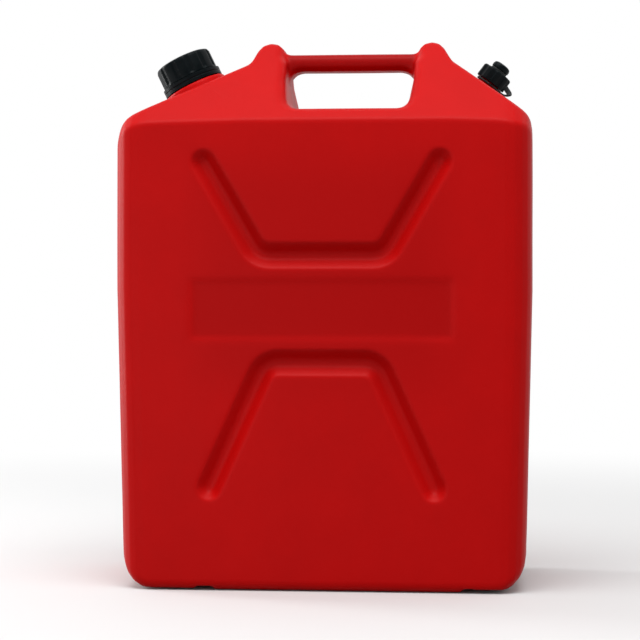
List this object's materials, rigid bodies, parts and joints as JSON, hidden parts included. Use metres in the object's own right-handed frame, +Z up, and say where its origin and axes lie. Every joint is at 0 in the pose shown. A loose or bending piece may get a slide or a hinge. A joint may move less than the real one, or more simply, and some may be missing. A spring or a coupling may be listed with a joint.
{
  "type": "plastic fuel can",
  "caption": "Upright moulded plastic fuel can with a carry handle on top, a screw-capped filler on one shoulder and a small capped vent on the other.",
  "frame": {"origin": "middle of the base, in the plane of the pad the can stands on", "axes": "+Z up, +X towards the vent's side, -Y towards the front"},
  "size_m": [0.35, 0.165, 0.464],
  "materials": {
    "red_hdpe": "satin, with a fine moulded grain",
    "black_polypropylene": "satin",
    "black_rubber": "matt"
  },
  "bodies": {
    "can": {"can_body": "red_hdpe", "filler_neck_ring": "black_polypropylene", "vent_tether_strap": "black_rubber"},
    "filler_seal": {"filler_sealing_disc": "black_polypropylene", "filler_gasket": "black_rubber"},
    "filler_cap": {"filler_collar": "black_polypropylene"},
    "vent_seal": {"vent_gasket": "black_rubber"},
    "vent_cap": {"vent_cap": "black_polypropylene", "vent_cap_stud": "black_polypropylene"}
  },
  "joints": [
    {"name": "filler_cap_lift", "type": "slide", "parent": "can", "child": "filler_seal", "axis": [-0.4368, 0, 0.8996], "range_m": [0, 0.0125]},
    {"name": "filler_cap_turn", "type": "hinge", "parent": "filler_seal", "child": "filler_cap", "pos_m": [-0.1148, 0, 0.42053], "axis": [-0.4368, 0, 0.8996], "range_deg": [0, 900]},
    {"name": "vent_cap_lift", "type": "slide", "parent": "can", "child": "vent_seal", "axis": [0.6046, 0, 0.7965], "range_m": [0, 0.0075], "deforming": ["vent_tether_strap"]},
    {"name": "vent_cap_turn", "type": "hinge", "parent": "vent_seal", "child": "vent_cap", "pos_m": [0.1355, 0, 0.42408], "axis": [0.6046, 0, 0.7965], "range_deg": [0, 900]}
  ],
  "couplings": [
    {"joint": "filler_cap_lift", "follows": "filler_cap_turn", "m_per_rad": 0.000795},
    {"joint": "vent_cap_lift", "follows": "vent_cap_turn", "m_per_rad": 0.000477}
  ]
}
